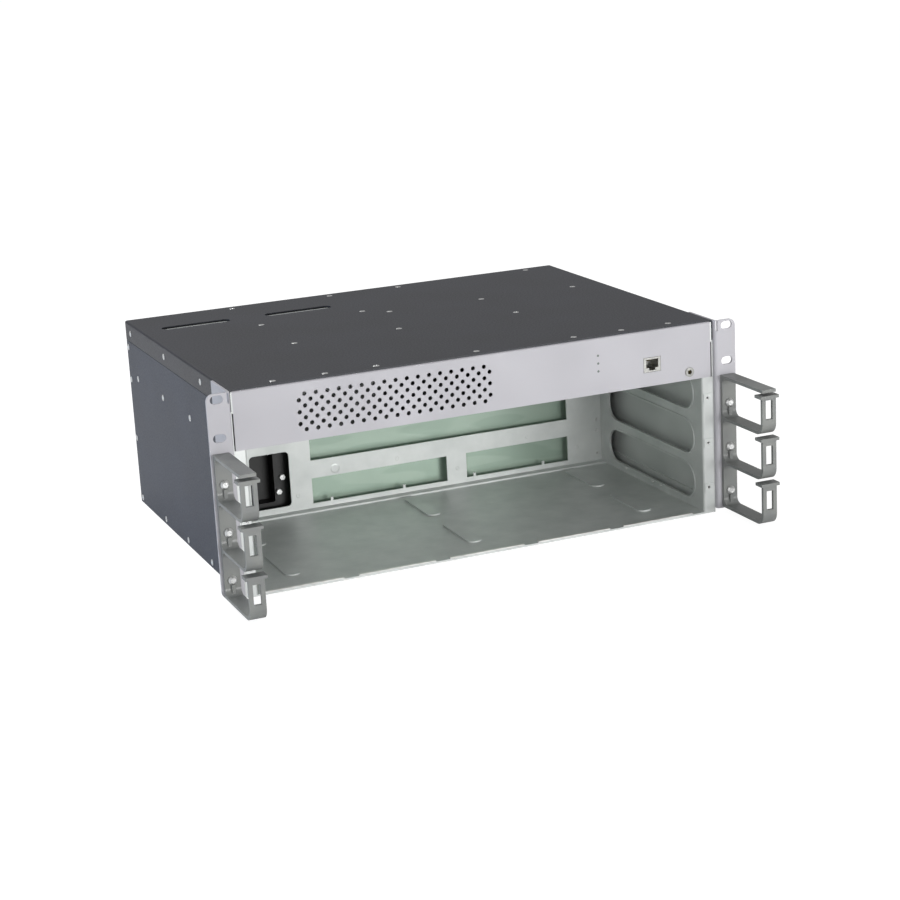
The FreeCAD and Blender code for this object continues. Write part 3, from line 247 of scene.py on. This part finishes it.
def clear_polycarbonate():
    """Moulded polycarbonate light pipe: milky clear, unlit."""
    made = new_material("clear_polycarbonate")
    haze = grain(made, 1.5)
    look = drifting(made, haze, ((0.3, "#6d7570"), (0.7, "#8b938d")), haze, (0.15, 0.25))
    return finish_surface(made, {**look, "IOR": 1.58, "Transmission Weight": 0.2})


DARK_COAT = powder_coat("dark_blue_grey_powder_coat", "#181b24", "#1d202a", 0.4)
LIGHT_COAT = powder_coat("light_grey_powder_coat", "#b3b2b7", "#b9b8bd", 0.55)
SKIN_COAT = coated_skin()
ZINC = zinc_plated_steel()
BRIGHT = bright_zinc()
STRIP = spring_strip()
GUIDE = moulded_abs("grey_moulded_abs", "#777978", "#80827f", 0.36)
BLACK = moulded_abs("black_moulded_abs", "#060606", "#0a0a0b", 0.5)
BOARD = solder_mask()
BRASS = turned_brass()
GOLD = gold_plate()
NICKEL = nickel_plate()
PIPE = clear_polycarbonate()

FINISH_OF_SLOT = {
    "body_paint": DARK_COAT, "front_paint": LIGHT_COAT, "frame_steel": ZINC, "rear_steel": ZINC,
    "spring_steel": STRIP, "guide_plastic": GUIDE, "screw_steel": BRIGHT, "board": BOARD,
    "standoff_brass": BRASS, "black_plastic": BLACK, "jack_metal": NICKEL, "jack_brass": NICKEL,
    "light_pipe": PIPE,
}
FINISH_OF_NODE = {"left_side_panel": SKIN_COAT, "right_side_panel": SKIN_COAT}
EDGE_OF_SLOT = {"guide_plastic": 0.9 * MM, "body_paint": 0.35 * MM}


def round_edges(target, width):
    """Soften the sharp edges that a mould or a folded sheet leaves round."""
    bevel = target.modifiers.new("edges", "BEVEL")
    bevel.width = width
    bevel.segments = 3
    bevel.limit_method = "ANGLE"
    bevel.angle_limit = math.radians(50)
    bevel.harden_normals = True


def dress_cad_nodes():
    """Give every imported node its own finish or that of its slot."""
    for part in frame["record"]["subparts"]:
        target = NODES[part["node"]]
        slot = part["material_slot"]
        finish = FINISH_OF_NODE.get(part["node"], FINISH_OF_SLOT[slot])
        if not target.material_slots:
            target.data.materials.append(finish)
        for place in target.material_slots:
            place.material = finish
        if slot in EDGE_OF_SLOT:
            round_edges(target, EDGE_OF_SLOT[slot])


# --------------------------------------------------------------------- making
def put_in_scene(name, data):
    """A new object in the scene, of that mesh, light or camera."""
    made = bpy.data.objects.new(name, data)
    bpy.context.scene.collection.objects.link(made)
    return made


def to_mesh(name, shape):
    """Turn a finished shape into a mesh."""
    mesh = bpy.data.meshes.new(name)
    shape.to_mesh(mesh)
    shape.free()
    return mesh


def ride_on_chassis(name, shape, finish):
    """Make a piece of a finished shape, fixed to the chassis."""
    piece = put_in_scene(name, to_mesh(name, shape))
    piece.data.materials.append(finish)
    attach(piece, "chassis")
    return piece


def facing(direction):
    """The turn that points +Z in a direction."""
    return Vector(direction).to_track_quat("Z", "Y").to_matrix().to_4x4()


def circle(steps):
    """Places evenly round a circle of radius 1."""
    turns = [2 * math.pi * i / steps for i in range(steps)]
    return [(math.cos(turn), math.sin(turn)) for turn in turns]


def wall_between(shape, first, second):
    """Close the wall between two rings that have as many points each."""
    for i in range(len(first)):
        j = (i + 1) % len(first)
        shape.faces.new((first[i], first[j], second[j], second[i]))


def cut_away(target, name, tool):
    """Take one object's shape out of another."""
    change = target.modifiers.new(name, "BOOLEAN")
    change.operation = "DIFFERENCE"
    change.solver = "EXACT"
    change.object = tool


# ---------------------------------------------------------- screws and rivets
def recess_blade(length, depth, top):
    """One blade of a driver's cross, narrower at its tip, its middle at that height."""
    thickness = 0.26       # share of the length
    tip = 0.45
    blade = bmesh.new()
    bmesh.ops.create_cube(blade, size=1.0)
    bmesh.ops.scale(blade, vec=(length, length * thickness, depth), verts=blade.verts)
    for corner in blade.verts:
        if corner.co.z < 0:
            corner.co.x *= tip
    bmesh.ops.translate(blade, vec=(0, 0, top), verts=blade.verts)
    return blade


def screw_head(radius, height, recess):
    """One crowned screw head with a cross recess, its foot at z = 0."""
    crown = ((1.0, 0.0), (1.0, 0.45), (0.93, 0.65), (0.75, 0.83), (0.45, 0.96))
    shape = bmesh.new()
    rings = [[shape.verts.new((radius * reach * x, radius * reach * y, height * rise))
              for x, y in circle(24)] for reach, rise in crown]
    for lower, upper in zip(rings, rings[1:]):
        wall_between(shape, lower, upper)
    last = rings[-1]
    top = shape.verts.new((0, 0, height))
    for i in range(len(last)):
        shape.faces.new((last[i], last[(i + 1) % len(last)], top))
    shape.faces.new(rings[0][::-1])
    blank = put_in_scene("screw_blank", to_mesh("screw_head", shape))
    blades = []
    for angle in (0, math.pi / 2):
        blade = recess_blade(recess, height * 1.1, height)
        bmesh.ops.rotate(blade, matrix=Matrix.Rotation(angle, 3, "Z"), verts=blade.verts)
        blades.append(put_in_scene("recess", to_mesh("recess", blade)))
        cut_away(blank, "recess", blades[-1])
    graph = bpy.context.evaluated_depsgraph_get()
    head = bpy.data.meshes.new_from_object(blank.evaluated_get(graph))
    for extra in blades + [blank]:
        bpy.data.objects.remove(extra)
    return head


def screws(name, head, places, normal):
    """Copies of one screw head on a face, each stopped at its own turn, joined as one piece."""
    turn_between = 1.1      # radians from one screw to the next
    shape = bmesh.new()
    for number, place in enumerate(places):
        copy = head.copy()
        spin = Matrix.Rotation(number * turn_between, 4, "Z")
        copy.transform(Matrix.Translation(Vector(place)) @ facing(normal) @ spin)
        shape.from_mesh(copy)
        bpy.data.meshes.remove(copy)
    ride_on_chassis(name, shape, BRIGHT)


def rivets(name, places, normal, diameter, proud, finish=BRIGHT):
    """Low discs with a sloping edge on a face, joined as one piece."""
    shape = bmesh.new()
    for place in places:
        seat = Matrix.Translation(Vector(place)) @ facing(normal)
        bmesh.ops.create_cone(
            shape, cap_ends=True, segments=24, radius1=diameter / 2, radius2=diameter * 0.36,
            depth=proud, matrix=seat @ Matrix.Translation((0, 0, proud / 2)))
    ride_on_chassis(name, shape, finish)


def cover_and_side_screws():
    """Low-headed screws, let into the cover by half their height and set on the side skins."""
    height = 0.5 * MM
    head = screw_head(2.8 * MM, height, 3.0 * MM)
    cover_rows = (                       # setback from the front edge, then places across, mm
        (10, (-180.5, -135.5, -90.5, 0, 91, 136.8, 182.6)),
        (134, (-119, -20.5, 94)),
        (209, (0, 93, 188.6)),
        (226, (-119, -20.5)),
        (315, (-119, -20.5, 50.7, 188.6)),
    )
    top = COVER_HIGH.z - height / 2
    places = [(x * MM, CHASSIS_FRONT + setback * MM, top) for setback, row in cover_rows for x in row]
    screws("cover_screws", head, places, (0, 0, 1))
    rear = (CHASSIS_BACK - CHASSIS_FRONT) / MM - 5
    side_rows = (                        # height, then setbacks from the front edge, mm
        (166.4, (81, 193, 307)),         # in the cover's flange
        (126, (123, 208, 293)),          # level with the cage's ceiling
        (151.5, (rear,)),                # down the rear edge
        (120.5, (rear,)),
        (63.6, (rear,)),
        (5, (91, 163, 235.5, 317)),      # level with the floor tray's upturned edge
    )
    for side, name in SIDES:
        places = [(side * COVER_HIGH.x, CHASSIS_FRONT + setback * MM, z * MM)
                  for z, row in side_rows for setback in row]
        screws(name + "_side_screws", head, places, (side, 0, 0))


def plate_and_wall_fixings():
    """Studs, a plug and small screws in the cage's rear wall, and studs low in its side walls."""
    sheet = 1.5 * MM
    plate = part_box("backplane_plate")[1]
    face = plate.y - sheet
    forward = (0, -1, 0)
    studs = ((-4.8, 37.5), (56.1, 18.5), (130.2, 37.7), (182.5, 18.9), (-104.4, 17.4), (55, 84))
    rivets("plate_studs", [(x * MM, face, z * MM) for x, z in studs], forward,
           4.2 * MM, 0.25 * MM, ZINC)
    rivets("plate_plug", [(-66.7 * MM, face, 37.8 * MM)], forward, 9.3 * MM, 0.3 * MM, ZINC)
    rivets("plate_corner_screws", [(205 * MM, face, z * MM) for z in (10, 33, 44, 84)], forward,
           3.2 * MM, 0.8 * MM)
    for side, name in SIDES:
        places = [(side * plate.x, CHASSIS_FRONT + setback * MM, 6.5 * MM)
                  for setback in (80, 96, 149)]
        rivets(name + "_wall_studs", places, (-side, 0, 0), 3.6 * MM, 1.1 * MM)


# --------------------------------------------------------- other small pieces
def vent_holes():
    """Punch the holes of the staggered vent field that the front panel's solid lacks: all but
    the first of each row, in the five lower rows."""
    step = 4.98 * MM            # from one row, or one column, to the next
    columns = 36
    hole = 3.8 * MM
    deep = 4 * MM
    panel = NODES["front_panel"]
    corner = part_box("front_panel")[0]
    first = COVER_LOW.x + 58.4 * MM
    middle = corner.z + 24.3 * MM
    through = Matrix.Rotation(math.radians(90), 4, "X")
    shape = bmesh.new()
    for row in (-3, -2, -1, 0, 1):
        for column in range(2 + row % 2, columns - row % 2, 2):
            place = Matrix.Translation((first + column * step, corner.y, middle + row * step))
            bmesh.ops.create_cone(
                shape, cap_ends=True, segments=10, radius1=hole / 2, radius2=hole / 2,
                depth=deep, matrix=place @ through)
    tool = put_in_scene("vent_tools", to_mesh("vent_tools", shape))
    tool.hide_render = True
    tool.hide_viewport = True
    cut_away(panel, "vents", tool)
    shading = panel.modifiers.new("even shading", "WEIGHTED_NORMAL")
    shading.keep_sharp = True


def supply_strips():
    """Top-hat stiffening strip along each power supply, seen through the cover's slots."""
    width, rise, sheet = 22, 4.9, 0.7         # mm, as the whole section is
    foot, lean, corner = 4, 1.2, 0.5
    left_foot, left_top = foot, foot + lean
    right_foot, right_top = width - foot, width - foot - lean
    section = (
        (0, 0), (left_foot, 0), (left_top, rise), (right_top, rise), (right_foot, 0), (width, 0),
        (width, sheet), (right_foot + corner, sheet), (right_top + corner, rise + sheet),
        (left_top - corner, rise + sheet), (left_foot - corner, sheet), (0, sheet))
    slot_middle = CHASSIS_BACK - 58 * MM
    end_gap = 8 * MM
    for bay in (1, 2):
        low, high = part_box("power_supply_%d" % bay)
        shape = bmesh.new()
        left, right = ([shape.verts.new((x, slot_middle + (y - width / 2) * MM, high.z + z * MM))
                        for y, z in section] for x in (low.x + end_gap, high.x - end_gap))
        wall_between(shape, left, right)
        shape.faces.new(left[::-1])
        shape.faces.new(right)
        bmesh.ops.recalc_face_normals(shape, faces=shape.faces)
        piece = ride_on_chassis("supply_strip_%d" % bay, shape, ZINC)
        round_edges(piece, 0.2 * MM)


def press_nuts():
    """Threaded press nuts behind the card-screw holes of both jambs."""
    outer, inner, length = 1.65 * MM, 1.0 * MM, 2.2 * MM
    slots = 3
    low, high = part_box("right_cage_wall")
    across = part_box("backplane_plate")[1].x + 5.2 * MM
    front = CHASSIS_FRONT - 0.3 * MM
    shape = bmesh.new()
    for side, _ in SIDES:
        for slot in range(slots):
            up = low.z + 22.6 * MM + slot * (high.z - low.z) / slots
            rings = [[shape.verts.new((side * across + radius * x, front + back, up + radius * z))
                      for x, z in circle(20)]
                     for radius, back in ((outer, length), (outer, 0), (inner, 0), (inner, length))]
            for first, second in zip(rings, rings[1:] + rings[:1]):
                wall_between(shape, first, second)
    bmesh.ops.recalc_face_normals(shape, faces=shape.faces)
    ride_on_chassis("press_nuts", shape, BRIGHT)


def jack_contacts():
    """Eight spring wires that slope down inside the network jack."""
    wires, pitch, radius = 8, 1.02 * MM, 0.22 * MM
    low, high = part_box("network_jack")
    shape = bmesh.new()
    for number in range(wires):
        x = (low.x + high.x) / 2 + (number - (wires - 1) / 2) * pitch
        start = Vector((x, low.y + 2.5 * MM, high.z - 2.0 * MM))
        end = Vector((x, high.y - 6.5 * MM, high.z - 5.5 * MM))
        bmesh.ops.create_cone(
            shape, cap_ends=True, segments=8, radius1=radius, radius2=radius,
            depth=(end - start).length,
            matrix=Matrix.Translation((start + end) / 2) @ facing((end - start).normalized()))
    ride_on_chassis("jack_contacts", shape, GOLD)


# ---------------------------------------------------------------------- stage
def seen_directly(material):
    """1 for what is looked at straight on or through something clear, 0 for what only lights."""
    path = add(material, "ShaderNodeLightPath")
    seen = add(material, "ShaderNodeMath", {
        0: path.outputs["Is Camera Ray"], 1: path.outputs["Is Transmission Ray"]},
        operation="MAXIMUM")
    return seen.outputs[0]


def white_floor():
    """White studio floor: looked at, three quarters of it glows evenly, and the rest is matt
    paint that takes the chassis' soft shadow."""
    made = new_material("white_floor")
    glowing = add(made, "ShaderNodeMath", {0: seen_directly(made), 1: 0.75}, operation="MULTIPLY")
    matt = add(made, "ShaderNodeBsdfDiffuse", {"Color": linear("#f2f2f2")})
    glow = add(made, "ShaderNodeEmission", {"Color": linear("#ffffff"), "Strength": 1.25})
    both = add(made, "ShaderNodeMixShader", {
        0: glowing.outputs[0], 1: matt.outputs[0], 2: glow.outputs[0]})
    add(made, "ShaderNodeOutputMaterial", {"Surface": both.outputs[0]})
    return made


def make_floor():
    """Wide floor just below the chassis."""
    half = 12.0
    shape = bmesh.new()
    bmesh.ops.create_grid(shape, x_segments=1, y_segments=1, size=half)
    floor = put_in_scene("floor", to_mesh("floor", shape))
    floor.location.z = CAD_BOX[0].z - 0.05 * MM
    floor.data.materials.append(white_floor())


def make_world():
    """White surroundings that light softly from all sides."""
    world = bpy.data.worlds.new("studio")
    bpy.context.scene.world = world
    world.use_nodes = True
    world.node_tree.nodes.clear()
    level = add(world, "ShaderNodeMapRange", {
        "Value": seen_directly(world), "To Min": 0.42, "To Max": 1.0})
    light = add(world, "ShaderNodeBackground", {
        "Color": linear("#ffffff"), "Strength": level.outputs[0]})
    add(world, "ShaderNodeOutputWorld", {"Surface": light.outputs[0]})


def panel_light(name, place, size, watts, tint=(1, 1, 1)):
    """Rectangular light, turned to the middle of the chassis."""
    aim = Vector((0, 0, 0.08))
    lamp = bpy.data.lights.new(name, "AREA")
    lamp.shape = "RECTANGLE"
    lamp.size, lamp.size_y = size
    lamp.energy = watts
    lamp.color = tint
    holder = put_in_scene(name, lamp)
    holder.location = place
    holder.rotation_mode = "QUATERNION"
    holder.rotation_quaternion = (aim - Vector(place)).to_track_quat("-Z", "Y")


def make_lights():
    """A low key from the right, a weak fill, a cool light on the left skin and one above."""
    panel_light("front", (0.62, -2.1, 0.16), (1.1, 0.4), 27)
    panel_light("fill", (-1.3, -1.9, 0.6), (0.8, 0.8), 7)
    panel_light("left", (-2.2, 0.2, 0.5), (0.8, 0.8), 9, (0.5, 0.72, 1.0))
    panel_light("top", (-0.6, 0.9, 1.6), (0.8, 0.5), 15)


def make_camera():
    """Camera at three-quarter left, a little above, with a slight roll."""
    azimuth, elevation, roll = (math.radians(angle) for angle in (-22.35, 15.49, -3.04))
    target = Vector((0, -16.3 * MM, 88 * MM))
    distance, sideways, downward = 1900.5 * MM, 26.54 * MM, 29.08 * MM
    back = Vector((math.sin(azimuth) * math.cos(elevation),
                   -math.cos(azimuth) * math.cos(elevation), math.sin(elevation)))
    level = Vector((math.cos(azimuth), math.sin(azimuth), 0))
    upright = back.cross(level)
    right = level * math.cos(roll) + upright * math.sin(roll)
    up = upright * math.cos(roll) - level * math.sin(roll)
    lens = bpy.data.cameras.new("camera")
    lens.sensor_width = 36
    lens.lens = 83.64
    lens.clip_start, lens.clip_end = 0.05, 50
    camera = put_in_scene("camera", lens)
    place = target + right * sideways - up * downward + back * distance
    camera.matrix_world = Matrix.Translation(place) @ Matrix((right, up, back)).transposed().to_4x4()
    bpy.context.scene.camera = camera


# ------------------------------------------------------------------- assembly
bpy.context.scene.view_settings.view_transform = "Standard"
make_camera()
make_floor()
make_world()
make_lights()
dress_cad_nodes()
cover_and_side_screws()
plate_and_wall_fixings()
vent_holes()
supply_strips()
press_nuts()
jack_contacts()
